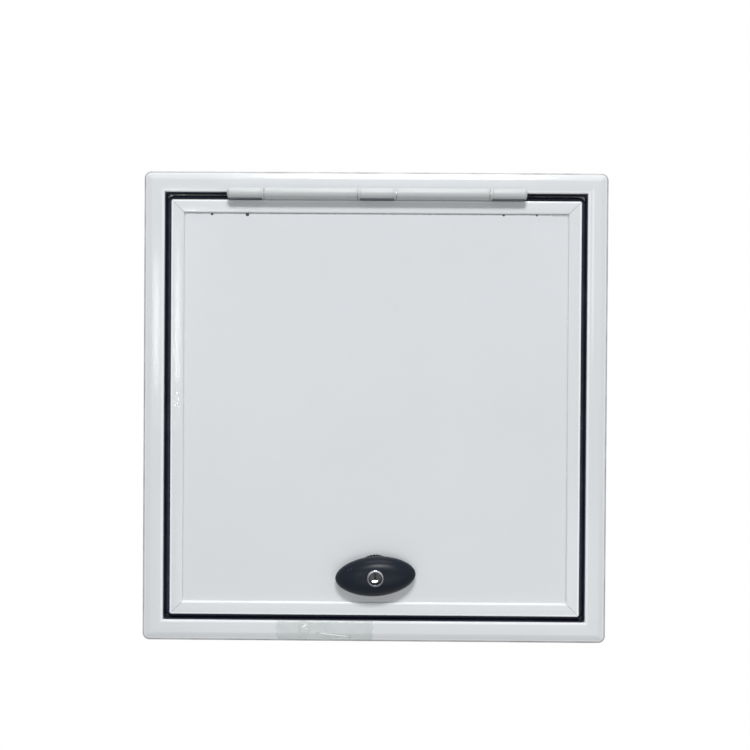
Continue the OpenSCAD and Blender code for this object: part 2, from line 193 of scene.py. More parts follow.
def outline(corners, steps=5):
    """Closed outline through corners of (across, deep, rounding). Each corner becomes the
    curve (1-s)^2 A + 2s(1-s) C + s^2 B, with A and B at the rounding's length on its legs."""
    c = np.array([corner[:2] for corner in corners], float)
    r = np.array([corner[2] for corner in corners], float)[:, None]
    before, after = np.roll(c, 1, 0) - c, np.roll(c, -1, 0) - c
    a = c + r * before / np.linalg.norm(before, axis=1, keepdims=True)
    b = c + r * after / np.linalg.norm(after, axis=1, keepdims=True)
    s = np.linspace(0, 1, steps)[None, :, None]
    curve = (1 - s) ** 2 * a[:, None] + 2 * s * (1 - s) * c[:, None] + s ** 2 * b[:, None]
    return curve.reshape(-1, 2)


def arc(across, deep, r, start, end, steps=9):
    """Points at radius r round a centre, from one angle to another, in degrees."""
    a = np.radians(np.linspace(start, end, steps))
    return np.stack([across + r * np.cos(a), deep + r * np.sin(a)], 1)


def member(profile, length, corner_r, gap=0.0):
    """Grid of one mitred length along X. An outline point at u inwards keeps that place, and
    the last stations turn on an arc of radius corner_r - u up to the 45 degree plane."""
    u, deep = profile[:, 0], profile[:, 1]
    r = np.maximum(corner_r - u, 0)
    turn = np.linspace(0, np.pi / 4, 7)[:, None]
    lead = np.array([0.02, 0.003, 0.0005])[:, None]
    centre = length / 2 - np.maximum(corner_r, u) - gap
    along = np.vstack([centre - lead, centre + r * np.sin(turn)])
    inward = np.vstack([np.broadcast_to(u, (3, len(u))),
                        np.maximum(u, corner_r) - r * np.cos(turn)])
    half = np.stack([along, np.broadcast_to(deep, along.shape), inward], -1)
    return np.concatenate([half[::-1] * (-1, 1, 1), half])


def on_side(grid, side, box):
    """Turns a length drawn along X with z inwards onto one side of a box (x0, x1, z0, z1)."""
    x0, x1, z0, z1 = box
    along, deep, inward = np.moveaxis(grid, -1, 0)
    mx, mz = (x0 + x1) / 2, (z0 + z1) / 2
    x, z = {"bottom": (mx + along, z0 + inward), "top": (mx - along, z1 - inward),
            "left": (x0 + inward, mz - along), "right": (x1 - inward, mz + along)}[side]
    return np.stack([x, deep, z], -1)


def quads(grid, wrap_a=False, wrap_b=False):
    """The grid's points as rows, and its faces from each point to its three neighbours."""
    n, m = grid.shape[:2]
    index = np.arange(n * m).reshape(n, m)
    if wrap_a:
        index = np.vstack([index, index[:1]])
    if wrap_b:
        index = np.hstack([index, index[:, :1]])
    faces = np.stack([index[:-1, :-1], index[1:, :-1], index[1:, 1:], index[:-1, 1:]], -1)
    return grid.reshape(-1, 3), faces.reshape(-1, 4).tolist()


def capped(grid):
    """A run of closed outlines with a flat cap on its first and its last."""
    n, m = grid.shape[:2]
    points, faces = quads(grid, wrap_b=True)
    first, last = np.arange(m), np.arange(m) + (n - 1) * m
    return points, faces + [first[::-1].tolist(), last.tolist()]


def piece(name, shells, body, material, replaces=(), crease=32, bevel=0.0):
    """One object from shells of points and faces: doubles merged, faces turned outwards,
    smooth up to the crease angle, with a small bevel on sharper edges if asked."""
    verts, faces, start = [], [], 0
    for points, shell in shells:
        verts.append(points)
        faces += [[i + start for i in face] for face in shell]
        start += len(points)
    mesh = bpy.data.meshes.new(name)
    mesh.from_pydata(np.concatenate(verts).tolist(), [], faces)
    work = bmesh.new()
    work.from_mesh(mesh)
    bmesh.ops.remove_doubles(work, verts=work.verts, dist=MERGE)
    bmesh.ops.dissolve_degenerate(work, edges=work.edges, dist=MERGE / 2)
    bmesh.ops.recalc_face_normals(work, faces=work.faces)
    work.to_mesh(mesh)
    work.free()
    return finished(name, mesh, body, material, replaces, crease, bevel)


def finished(name, mesh, body, material, replaces=(), crease=32, bevel=0.0):
    """Gives a mesh its object, shading, material and body."""
    mesh.shade_smooth()
    mesh.set_sharp_from_angle(angle=np.radians(crease))
    mesh.materials.clear()
    mesh.materials.append(material)
    made = bpy.data.objects.new(name, mesh)
    bpy.context.scene.collection.objects.link(made)
    if bevel:
        ease = made.modifiers.new("eased_edges", "BEVEL")
        ease.width, ease.segments, ease.limit_method = bevel, 2, "ANGLE"
        ease.angle_limit = np.radians(crease)
        ease.harden_normals = True
    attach(made, body)
    if replaces:
        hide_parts(*replaces)
    return made


def group(name, inputs, outputs):
    """A shader node group with number or vector inputs, and its input and output nodes."""
    tree = bpy.data.node_groups.new(name, "ShaderNodeTree")
    for label, value in inputs.items():
        kind = "NodeSocketVector" if isinstance(value, tuple) else "NodeSocketFloat"
        tree.interface.new_socket(label, in_out="INPUT", socket_type=kind).default_value = value
    for label in outputs:
        tree.interface.new_socket(label, in_out="OUTPUT", socket_type="NodeSocketFloat")
    return tree, tree.nodes.new("NodeGroupInput").outputs, tree.nodes.new("NodeGroupOutput").inputs


def use(tree, shared, inputs=()):
    """Places a node group in a material with its own values."""
    return node(tree, "Group", inputs, node_tree=shared).outputs


def noise(tree, where, scale, detail=2.0, rough=0.5):
    """Noise at so many lumps a metre."""
    return node(tree, "TexNoise", {"Vector": where, "Scale": scale, "Detail": detail,
                                   "Roughness": rough}).outputs["Fac"]


def ramp(tree, value, low, high, to_low=0.0, to_high=1.0):
    """A value stretched from one range onto another, and held inside it."""
    return node(tree, "MapRange", {"Value": value, "From Min": low, "From Max": high,
                                   "To Min": to_low, "To Max": to_high}).outputs[0]


def shade(share, colour):
    """A share of a colour, with an alpha of one."""
    return tuple(share * c for c in colour) + (1,)


def mix(tree, factor, first, second):
    """The first colour where the factor is nought, the second where it is one."""
    return node(tree, "Mix", {"Factor": factor, "A": first, "B": second},
                data_type="RGBA").outputs["Result"]


def axes(tree, place):
    """The X, Y and Z of a place."""
    return node(tree, "SeparateXYZ", {0: place}).outputs


def folded(tree, operation, values):
    """Values taken together with one operation, each with the result of those before it."""
    whole = values[0]
    for value in values[1:]:
        whole = maths(tree, operation, whole, value)
    return whole


def distance(tree, first, second):
    """How far apart two values lie, |first - second|."""
    return maths(tree, "ABSOLUTE", maths(tree, "SUBTRACT", first, second))


def fresh(name):
    """A new material, its empty tree, and the object coordinates in it."""
    material = bpy.data.materials.new(name)
    tree = empty_tree(material)
    return material, tree, node(tree, "TexCoord").outputs["Object"]


def surfaced(tree, tone, gloss, height, depth, strength=1.0, **fixed):
    """Ends a material with its own shader: a tone, a roughness, a bump from a height, and
    plain values for the shader's other sockets."""
    bump = node(tree, "Bump", {"Height": height, "Strength": strength, "Distance": depth})
    values = {label.replace("_", " "): value for label, value in fixed.items()}
    shader = node(tree, "BsdfPrincipled", {"Base Color": tone, "Roughness": gloss,
                                           "Normal": bump.outputs[0], **values})
    node(tree, "OutputMaterial", {0: shader.outputs[0]})


# Orange peel: rounded lumps a few millimetres across with finer ones on them
peel, given, result = group("orange_peel", {"Place": (0.0, 0.0, 0.0), "Lump": 2.5}, ["Height"])
per_metre = maths(peel, "DIVIDE", 1000.0, given["Lump"])
coarse = noise(peel, given["Place"], per_metre, 1.0)
fine = noise(peel, given["Place"], maths(peel, "MULTIPLY", per_metre, 3.1), 1.0)
peel.links.new(maths(peel, "MULTIPLY_ADD", fine, 0.3, coarse), result["Height"])

# Handling: faint wiped smears a few centimetres long, with fine specks of dust in them
handling, given, result = group("handling", {"Place": (0.0, 0.0, 0.0)}, ["Smear", "Dust"])
skewed = node(handling, "Mapping", {"Vector": given["Place"], "Rotation": (0.0, 0.6, 0.0),
                                    "Scale": (16.0, 30.0, 48.0)})
smear = ramp(handling, noise(handling, skewed.outputs[0], 1.0, 5.0, 0.62), 0.46, 0.72)
flecks = node(handling, "TexVoronoi", {"Vector": given["Place"], "Scale": 210.0})
fleck_size = ramp(handling, noise(handling, given["Place"], 31.0), 0.45, 0.7, 0.02, 0.16)
handling.links.new(smear, result["Smear"])
handling.links.new(maths(handling, "LESS_THAN", flecks.outputs["Distance"], fleck_size),
                   result["Dust"])


# Inset: how far a place lies inside a round-cornered outline in the plane of the door. With
# q = |place - centre| - half + r, it is r - length(max(q, 0)) - min(max(q), 0)
inset, given, result = group(
    "inset", {"Place": (0.0, 0.0, 0.0), "Centre X": 0.0, "Centre Z": 0.0, "Half X": 0.2,
              "Half Z": 0.2, "Corner": 0.0}, ["Inset"])
spot = axes(inset, given["Place"])
beyond = []
for part in "XZ":
    off = distance(inset, spot[part], given["Centre " + part])
    span = maths(inset, "SUBTRACT", given["Corner"], given["Half " + part])
    beyond.append(maths(inset, "ADD", off, span))
over = [maths(inset, "MAXIMUM", q, 0.0) for q in beyond]
squares = [maths(inset, "POWER", q, 2.0) for q in over]
reach = maths(inset, "SQRT", maths(inset, "ADD", *squares))
within = maths(inset, "MINIMUM", maths(inset, "MAXIMUM", *beyond), 0.0)
inset.links.new(maths(inset, "SUBTRACT", given["Corner"], maths(inset, "ADD", reach, within)),
                result["Inset"])


def inset_of(tree, place, box, corner=0.0):
    """The inset of a place in a box (x0, x1, z0, z1)."""
    x0, x1, z0, z1 = (float(edge) for edge in box)
    return use(tree, inset, {"Place": place, "Centre X": (x0 + x1) / 2, "Centre Z": (z0 + z1) / 2,
                             "Half X": (x1 - x0) / 2, "Half Z": (z1 - z0) / 2,
                             "Corner": corner})["Inset"]


# The first colour is a painted highlight white. The second serves real dust and grime and also
# painted shade. The third serves dark sealant and also painted shade in seams.
HIGHLIGHT_WHITE = (0.93, 0.95, 0.97, 1)
DIRT_AND_SHADE = (0.15, 0.127, 0.122, 1)
TAR_AND_SHADE = (0.012, 0.022, 0.05, 1)


def white_coat(name, colour, roughness, lump, lump_depth, grime_and_shade=None, pale=None, spots_and_shade=None,
               shine=0.5):
    """White powder coat: a near white with a faint cloud in it, soft gloss broken by
    smears, orange peel in the bump, dust specks, and where masks are given, grime mixed
    with painted shade, dark sealant spots mixed with painted shade, and painted
    highlights along rounded edges."""
    material, tree, place = fresh(name)
    marks = use(tree, handling, {"Place": place})
    cloud = ramp(tree, noise(tree, place, 9.0, 3.0), 0.35, 0.65)
    tone = mix(tree, cloud, shade(0.985, colour), shade(1, colour))
    # Painted highlight: paler where this mask is given.
    if pale:
        tone = mix(tree, pale(tree, place), tone, HIGHLIGHT_WHITE)
    # Dust specks, grime and painted shade darken the tone together here.
    dirt_and_shade = maths(tree, "MULTIPLY", marks["Dust"], 0.05)
    if grime_and_shade:
        dirt_and_shade = maths(tree, "MAXIMUM", dirt_and_shade, grime_and_shade(tree, place))
    soiled_and_shaded = mix(tree, dirt_and_shade, tone, DIRT_AND_SHADE)
    # Dark sealant spots and painted seam shade.
    if spots_and_shade:
        soiled_and_shaded = mix(tree, spots_and_shade(tree, place), soiled_and_shaded, TAR_AND_SHADE)
    gloss = maths(tree, "MULTIPLY_ADD", marks["Smear"], 0.06, roughness)
    gloss = maths(tree, "MULTIPLY_ADD", dirt_and_shade, 0.4, gloss)
    height = use(tree, peel, {"Place": place, "Lump": lump})["Height"]
    surfaced(tree, soiled_and_shaded, gloss, height, lump_depth, IOR=1.5, Specular_IOR_Level=shine)
    return material


frame_low, frame_high = np.array(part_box("frame_bottom")[0]), np.array(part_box("frame_top")[1])
neck_back = FLANGE_W - WALL_T
frame_box = (-FRAME_W / 2, FRAME_W / 2, frame_low[2], frame_high[2])
frame_h = frame_box[3] - frame_box[2]
edge_y = -CROWN + (SLOPE_W - EDGE_R) * np.tan(SLOPE) + EDGE_R / np.cos(SLOPE)
slope_u = np.linspace(EDGE_R * (1 - np.sin(SLOPE)), SLOPE_W, 10)[1:-1]
slope_share = (slope_u - slope_u[0]) / (SLOPE_W - slope_u[0])
slope_y = (-CROWN + (SLOPE_W - slope_u) * np.tan(SLOPE)
           - 4 * SLOPE_SWELL * slope_share * (1 - slope_share))
slope = np.stack([slope_u, slope_y], 1)
crease = outline([tuple(slope[-1]) + (0,), (SLOPE_W, -CROWN, 0.0005),
                  (FLANGE_W - LIP_R, -CROWN, 0)])[5:10]
front_line = np.vstack([arc(EDGE_R, edge_y, EDGE_R, 180, 270 - np.degrees(SLOPE)), slope[1:-1],
                        crease, arc(FLANGE_W - LIP_R, LIP_R - CROWN, LIP_R, 270, 360)])
grooves = [(at + side * GROOVE_W / 2, y, 0.0001)
           for at in (neck_back - GROOVE_AT[0], neck_back - GROOVE_AT[1], *GROOVE_AT[::-1])
           for side, y in ((1, 0), (1, -GROOVE_D), (-1, -GROOVE_D), (-1, 0))]
inside = [(FLANGE_W, SHELF_Y, 0.0003), (FLANGE_W + SHELF_W, SHELF_Y, 0.0004),
          (FLANGE_W + SHELF_W, SHELF_Y + WALL_T, 0.0004), (FLANGE_W, SHELF_Y + WALL_T, 0.0003),
          (FLANGE_W, SKIRT_Y, 0.0003), (neck_back, SKIRT_Y, 0.0003), (neck_back, 0, 0.0002)]
back_line = outline([(FLANGE_W, 0, 0)] + inside + grooves + [(0, 0, 0.0002)])[5:]
surround_section = np.vstack([front_line, back_line])
lengths = {"bottom": FRAME_W, "top": FRAME_W, "left": frame_h, "right": frame_h}


def painted_edge_shade(tree, place):
    """Painted shade: a thin warm grey line along the flange's outer edge, broken by noise."""
    gone = inset_of(tree, place, frame_box, CORNER_R)
    broken = ramp(tree, noise(tree, place, 40.0, 3.0), 0.35, 0.65, 0.3, 0.6)
    return maths(tree, "MULTIPLY", ramp(tree, gone, 0.0011, 0.0019, 1.0, 0.0), broken)


def painted_lip_highlights(tree, place):
    """Painted highlights: paler lines on the rounded inner lip and just inside the outer
    edge, and a pale streak painted down the right member's upper half as a highlight."""
    reach = inset_of(tree, place, frame_box)
    rim = inset_of(tree, place, frame_box, CORNER_R)
    rim = maths(tree, "MULTIPLY", ramp(tree, rim, 0.0014, 0.002),
                ramp(tree, rim, 0.0024, 0.003, 0.5, 0.0))
    lip = maths(tree, "MULTIPLY", ramp(tree, reach, FLANGE_W - 0.0026, FLANGE_W - 0.0012),
                ramp(tree, reach, FLANGE_W, FLANGE_W + 0.001, 0.75, 0.0))
    spot = axes(tree, place)
    off = distance(tree, spot["X"], STREAK_X)
    streak = folded(tree, "MULTIPLY", [ramp(tree, off, 0.0004, 0.0014, 0.6, 0.0),
                                       ramp(tree, spot["Z"], *STREAK_LOW),
                                       ramp(tree, spot["Z"], *STREAK_HIGH, 1.0, 0.0)])
    return folded(tree, "MAXIMUM", [lip, rim, streak])


surround_coat = white_coat("surround_coat", (0.745, 0.768, 0.79), 0.13, 2.4, 0.00003, painted_edge_shade,
                           painted_lip_highlights, shine=0.3)
surround = piece(
    "surround",
    [quads(on_side(member(surround_section, lengths[side], CORNER_R), side, frame_box), wrap_b=True)
     for side in SIDES],
    "surround", surround_coat,
    ["frame_top", "frame_bottom", "frame_left", "frame_right"])


def drill(made, places, axis, radius, depth, sides=32):
    """Cuts round holes through a piece at places along an axis, 0 for X or 2 for Z. Each
    drill is two rings, radius times (cos a, sin a), a over a full turn, with flat ends."""
    turn = np.linspace(0, 2 * np.pi, sides + 1)[:-1]
    shells = []
    for place in places:
        ring = np.zeros((2, sides, 3))
        ring[..., axis] = np.array([-depth, depth])[:, None]
        ring[..., 1] = radius * np.cos(turn)
        ring[..., 2 - axis] = radius * np.sin(turn)
        shells.append(capped(ring + np.array(place)))
    cutter_mesh = bpy.data.meshes.new("drill")
    points = np.concatenate([shell[0] for shell in shells])
    faces = [[i + 2 * sides * k for i in face]
             for k, shell in enumerate(shells) for face in shell[1]]
    cutter_mesh.from_pydata(points.tolist(), [], faces)
    work = bmesh.new()
    work.from_mesh(cutter_mesh)
    bmesh.ops.recalc_face_normals(work, faces=work.faces)
    work.to_mesh(cutter_mesh)
    work.free()
    cutter = bpy.data.objects.new("drill", cutter_mesh)
    bpy.context.scene.collection.objects.link(cutter)
    cut = made.modifiers.new("drill", "BOOLEAN")
    cut.object, cut.operation, cut.solver = cutter, "DIFFERENCE", "EXACT"
    bpy.context.view_layer.update()
    evaluated = made.evaluated_get(bpy.context.evaluated_depsgraph_get())
    drilled = bpy.data.meshes.new_from_object(evaluated)
    made.modifiers.remove(cut)
    made.data = drilled
    bpy.data.objects.remove(cutter)


frame_mid_z = (frame_box[2] + frame_box[3]) / 2
skirt_x, skirt_z = FRAME_W / 2 - FLANGE_W + WALL_T / 2, frame_h / 2 - FLANGE_W + WALL_T / 2
holes = (-SCREW_SPAN / 2, SCREW_SPAN / 2)
drill(surround, [(s * skirt_x, SCREW_Y, frame_mid_z + h) for s in (-1, 1) for h in holes],
      0, SCREW_R, 2 * WALL_T)
drill(surround, [(h, SCREW_Y, frame_mid_z + s * skirt_z) for s in (-1, 1) for h in holes],
      2, SCREW_R, 2 * WALL_T)


# Weather seal
# Black rubber bulb on a flat foot, glued to the shelf in one length and bent round the
# four corners, with a thin side wall up the neck that stops at the hinge's two ends.
SEAL_R = 0.003
WALL_FRONT = -0.0018
WALL_OFF, WALL_IN = 0.0001, 0.0007
WALL_CORNER_R = 0.003
HINGE_ENDS = (-0.1262, 0.1276)
SEAL_CORNER_R = 0.005


def ring_path(box, r, steps=14):
    """Closed path round a box (x0, x1, z0, z1) with corners of radius r, and its outward
    directions: each corner's centre plus r times (cos a, sin a), a over a quarter turn."""
    x0, x1, z0, z1 = box
    a = np.radians(np.linspace(0, 90, steps))[None, :] + np.radians([0, 90, 180, 270])[:, None]
    centre = np.array([(x1 - r, z1 - r), (x0 + r, z1 - r), (x0 + r, z0 + r), (x1 - r, z0 + r)])
    out = np.stack([np.cos(a), np.sin(a)], -1)
    return (centre[:, None] + r * out).reshape(-1, 2), out.reshape(-1, 2)


def round_ring(profile, path, out):
    """Carries an outline of (outwards, deep) along a closed path in the plane of the door."""
    flat = path[:, None] + out[:, None] * profile[None, :, :1]
    deep = np.broadcast_to(profile[None, :, 1], flat.shape[:2])
    return np.stack([flat[..., 0], deep, flat[..., 1]], -1)


def rubber(name, colour, roughness, grain):
    """Black rubber: dark, satin, with a fine grain, and greyer where dust has settled."""
    material, tree, place = fresh(name)
    marks = use(tree, handling, {"Place": place})
    dusty = maths(tree, "MULTIPLY_ADD", marks["Smear"], 0.1,
                  maths(tree, "MULTIPLY", marks["Dust"], 0.25))
    tone = mix(tree, dusty, shade(1, colour), (0.18, 0.19, 0.23, 1))
    gloss = maths(tree, "MULTIPLY_ADD", marks["Smear"], 0.15, roughness)
    surfaced(tree, tone, gloss, noise(tree, place, 2600.0), grain, 0.6, IOR=1.45,
             Specular_IOR_Level=0.25)
    return material


seal_rubber = rubber("seal_rubber", (0.02, 0.023, 0.043), 0.36, 0.00002)
seal_low, seal_high = (np.array(corner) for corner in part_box("weather_seal"))
seal_box = (seal_low[0] + SEAL_R, seal_high[0] - SEAL_R,
            seal_low[2] + SEAL_R, seal_high[2] - SEAL_R)
bulb_turn = np.linspace(0, np.pi, 17)
bulb = np.stack([SEAL_R * np.cos(bulb_turn), SHELF_Y - SEAL_R - SEAL_R * np.sin(bulb_turn)], 1)
half_foot = np.array([(SEAL_R, SHELF_Y - 0.001), (SEAL_R - 0.0004, SHELF_Y - 0.0007),
                      (SEAL_R, SHELF_Y)])
foot = np.vstack([half_foot * (-1, 1), half_foot[::-1]])
path, out = ring_path(seal_box, SEAL_CORNER_R)
neck_box = (frame_box[0] + FLANGE_W, frame_box[1] - FLANGE_W, frame_box[2] + FLANGE_W,
            frame_box[3] - FLANGE_W)
wall_path, wall_out = ring_path(neck_box, WALL_CORNER_R)
quarter = len(wall_path) // 4
ends = np.array([(HINGE_ENDS[0], neck_box[3]), (HINGE_ENDS[1], neck_box[3])])
wall_path = np.vstack([ends[:1], np.roll(wall_path, -quarter, 0), ends[1:]])
wall_out = np.vstack([(0, 1), np.roll(wall_out, -quarter, 0), (0, 1)])
wall = outline([(-WALL_IN, WALL_FRONT, 0.0003), (-WALL_OFF, WALL_FRONT, 0.0001),
                (-WALL_OFF, SHELF_Y - WALL_OFF, 0.0001), (-WALL_IN, SHELF_Y - WALL_OFF, 0.0001)])
piece("weather_seal", [quads(round_ring(np.vstack([bulb, foot]), path, out), True, True),
                       capped(round_ring(wall, wall_path, wall_out))],
      "surround", seal_rubber, ["weather_seal"], crease=40)


# Hinge
# A white coated strap hinge with five knuckles on a steel pin. Three knuckles sit on the
# leaf under the top member, two long ones on the door's leaf, with nylon washers between.
PIN_Y, PIN_Z = -0.01, 0.3773
BARREL_R = 0.0047
PIN_R = 0.0025
LEAF_T = 0.0015
END_L, MIDDLE_L, DOOR_L, KNUCKLE_GAP = 0.028, 0.029, 0.0793, 0.0024
WASHER_T = 0.002
CAP_DOME = 0.0018
HINGE_X = 0.0007
LEAF_UP, LEAF_OFF, FRAME_LEAF_BACK = 0.0018, 0.0006, 0.0065
WEB_LEAD, WEB_LAP = 0.0014, 0.001
HOOK_Y, HOOK_L = 0.0009, 0.007
BEARING_GAP = 0.00005
hinge_l = 2 * END_L + MIDDLE_L + 2 * DOOR_L + 4 * KNUCKLE_GAP
hinge_lead = HINGE_X - hinge_l / 2
knuckle_l = np.array([END_L, DOOR_L, MIDDLE_L, DOOR_L, END_L])
knuckle_x = hinge_lead + np.concatenate([[0], np.cumsum(knuckle_l[:-1] + KNUCKLE_GAP)])


def turned(profile, steps=64):
    """A lathe form: outline points (radius, height) carried round the axis over a full turn."""
    a = np.linspace(0, 2 * np.pi, steps + 1)[:-1]
    r, h = profile[:, :1], profile[:, 1:]
    return np.stack([r * np.cos(a), r * np.sin(a), np.broadcast_to(h, (len(r), steps))], -1)


def on_pin(grid):
    """Lays a lathe form's axis along the hinge pin, its height along X."""
    return np.stack([grid[..., 2], PIN_Y + grid[..., 0], PIN_Z + grid[..., 1]], -1)


def tube(x, length, outer, inner, ease=0.0004):
    """A knuckle or washer on the pin: a rectangle of wall and length, its rims eased."""
    rim = outline([(inner, x, 0), (outer, x, ease), (outer, x + length, ease),
                   (inner, x + length, 0)])
    return quads(on_pin(turned(rim)), True, True)


def strip(section, x, length):
    """A leaf: an outline in (y, z) carried along X, capped at its ends."""
    ends = np.array([x, x + 0.0004, x + length - 0.0004, x + length])
    grid = np.empty((4, len(section), 3))
    grid[..., 0] = ends[:, None]
    grid[..., 1:] = section
    return capped(grid)


def block(y0, y1, z0, z1, ease=0.0003):
    """Outline of a flat bar in (y, z), its corners eased."""
    return outline([(y0, z0, ease), (y1, z0, ease), (y1, z1, ease), (y0, z1, ease)])


def knuckle_gap_shade(tree, place):
    """Painted shade: grey marks beside the gaps between the knuckles."""
    x = axes(tree, place)["X"]
    gaps = [distance(tree, x, float(start - KNUCKLE_GAP / 2)) for start in knuckle_x[1:]]
    rub = ramp(tree, folded(tree, "MINIMUM", gaps), 0.0012, 0.0035, 0.25, 0.0)
    return maths(tree, "MULTIPLY", rub, ramp(tree, noise(tree, place, 900.0, 3.0), 0.35, 0.7))


def painted_knuckle_seam_shade(tree, place):
    """Painted shade: black along the underside of the three fixed knuckles, where the open seam
    lies in shade.
    """
    spot = axes(tree, place)
    low_z = PIN_Z - BARREL_R
    under = ramp(tree, spot["Z"], low_z + 0.0002, low_z + 0.0007, 0.95, 0.0)
    in_knuckle = []
    for i in (0, 2, 4):
        off = distance(tree, spot["X"], float(knuckle_x[i] + knuckle_l[i] / 2))
        in_knuckle.append(maths(tree, "LESS_THAN", off, float(knuckle_l[i] / 2 + 0.0001)))
    return maths(tree, "MULTIPLY", under, folded(tree, "MAXIMUM", in_knuckle))


hinge_coat = white_coat("hinge_coat", (0.55, 0.57, 0.578), 0.4, 1.6, 0.00002, knuckle_gap_shade,
                        spots_and_shade=painted_knuckle_seam_shade)
leaf_y = PIN_Y + BARREL_R + LEAF_OFF
leaf_top = PIN_Z + LEAF_UP
fixed = [tube(knuckle_x[i], knuckle_l[i], BARREL_R, PIN_R) for i in (0, 2, 4)]
fixed += [strip(block(PIN_Y + PIN_R, leaf_y + WEB_LAP, leaf_top - LEAF_T, leaf_top), knuckle_x[i],
                knuckle_l[i]) for i in (0, 2, 4)]
fixed.append(strip(block(leaf_y, FRAME_LEAF_BACK, leaf_top - LEAF_T, leaf_top),
                   hinge_lead, hinge_l))
piece("hinge_frame_leaf", fixed, "surround", hinge_coat, ["hinge_frame_leaf"])

leaf_z = PIN_Z - BARREL_R
moving = [tube(knuckle_x[i], knuckle_l[i], BARREL_R, PIN_R + BEARING_GAP) for i in (1, 3)]
moving += [strip(block(PIN_Y + WEB_LEAD, leaf_y + WEB_LAP, leaf_z, leaf_z + LEAF_T),
                 knuckle_x[i], knuckle_l[i]) for i in (1, 3)]
hook = outline([(leaf_y, leaf_z, 0.0003), (HOOK_Y, leaf_z, 0),
                (HOOK_Y, leaf_z - HOOK_L, 0.0002), (HOOK_Y + LEAF_T, leaf_z - HOOK_L, 0.0002),
                (HOOK_Y + LEAF_T, leaf_z + LEAF_T, 0.0006), (leaf_y, leaf_z + LEAF_T, 0.0003)])
moving.append(strip(hook, hinge_lead, hinge_l))
piece("hinge_door_leaf", moving, "door", hinge_coat, ["hinge_door_leaf"])


def moulding(name, colour, roughness, grain, speck, shine):
    """Moulded nylon: an even colour with a faint flow cloud, a fine spark-eroded grain in
    the bump, and smears in the gloss."""
    material, tree, place = fresh(name)
    marks = use(tree, handling, {"Place": place})
    flow = ramp(tree, noise(tree, place, 60.0, 3.0), 0.3, 0.7)
    tone = mix(tree, flow, shade(0.9, colour), shade(1.08, colour))
    dusted = mix(tree, maths(tree, "MULTIPLY", marks["Dust"], 0.12), tone, (0.35, 0.36, 0.37, 1))
    gloss = maths(tree, "MULTIPLY_ADD", marks["Smear"], 0.08, roughness)
    surfaced(tree, dusted, gloss, noise(tree, place, speck), grain, 0.7, IOR=1.45,
             Specular_IOR_Level=shine)
    return material


white_nylon = moulding("white_nylon", (0.56, 0.575, 0.58), 0.4, 0.00002, 1800.0, 0.3)
washers = [tube(x, WASHER_T, BARREL_R - 0.0002, PIN_R, 0.0002)
           for i in (0, 2) for x in (knuckle_x[i] + knuckle_l[i], knuckle_x[i + 2] - WASHER_T)]
piece("hinge_washers", washers, "surround", white_nylon, ["hinge_washers"])

cap_turn = np.linspace(0, np.pi / 2, 9)
cap_line = np.vstack([[(0, 0)], np.stack([BARREL_R * np.cos(cap_turn),
                                          CAP_DOME * np.sin(cap_turn)], 1)])
caps = []
for side in (-1, 1):
    cap = on_pin(turned(cap_line) * (1, 1, side))
    cap[..., 0] += HINGE_X + side * hinge_l / 2
    caps.append(quads(cap, wrap_b=True))
piece("hinge_end_caps", caps, "surround", white_nylon, ["hinge_end_caps"])


def plated(name, colour, roughness, grain, along=(1.0, 1.0, 1.0), painted_dull=None):
    """Bright metal: scratches stretched along the way it was worked, a dull bloom, and where
    a mask is given, a painted duller colour as shade, with a painted highlight where the mask is
    clear."""
    material, tree, place = fresh(name)
    drawn = node(tree, "Mapping", {"Vector": place, "Scale": along}).outputs[0]
    bloom = ramp(tree, noise(tree, place, 140.0, 4.0), 0.4, 0.7)
    tone = mix(tree, bloom, shade(1, colour), shade(0.82, colour))
    if painted_dull:
        tone = mix(tree, painted_dull(tree, place), tone, shade(0.3, colour))
    scratch = noise(tree, drawn, 2400.0)
    gloss = maths(tree, "MULTIPLY_ADD", scratch, 0.1, roughness)
    gloss = maths(tree, "MULTIPLY_ADD", bloom, 0.12, gloss)
    surfaced(tree, tone, gloss, scratch, grain, 0.5, Metallic=1.0)
    return material


def dress(source, material):
    """Gives a CAD node that stays in the scene its material."""
    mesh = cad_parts[source].data
    mesh.materials.clear()
    mesh.materials.append(material)


zinc = plated("zinc_plate", (0.56, 0.57, 0.58), 0.28, 0.000008)
dress("hinge_pin", zinc)


# Edge trims
# Four mitred lengths of white aluminium edging round the sandwich door. The front laps
# over the skin with a rounded lip, and a hollow edge overhangs the seal.
DOOR_PROUD = 0.0035
DOOR_T = 0.014
TRIM_W = 0.0113
TRIM_LAP = 0.0074
TRIM_EDGE = 0.0044
TRIM_WALL = 0.0014
TRIM_BACK_LIP = 0.017
TRIM_ROUND = 0.0012
TRIM_LIP_R = 0.0015
SKIN_STEP = 0.0016
DOOR_CORNER_R = 0.0016
MITRE_GAP = 0.00006
face_y = -DOOR_PROUD
back_y = face_y + DOOR_T
skin_y = face_y + SKIN_STEP
trim_low, trim_high = np.array(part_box("trim_bottom")[0]), np.array(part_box("trim_top")[1])
door_box = (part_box("trim_left")[0][0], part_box("trim_right")[1][0], trim_low[2], trim_high[2])
door_w, door_h = door_box[1] - door_box[0], door_box[3] - door_box[2]
core_edge = TRIM_LAP + TRIM_WALL
trim_section = outline([
    (0, face_y, TRIM_ROUND), (TRIM_W, face_y, TRIM_LIP_R), (TRIM_W, skin_y, 0),
    (core_edge, skin_y, 0), (core_edge, back_y - SKIN_STEP, 0),
    (TRIM_BACK_LIP, back_y - SKIN_STEP, 0), (TRIM_BACK_LIP, back_y, 0.0005),
    (TRIM_LAP, back_y, 0.0005), (TRIM_LAP, face_y + TRIM_EDGE, 0.0003),
    (0, face_y + TRIM_EDGE, 0.0005)], 6)


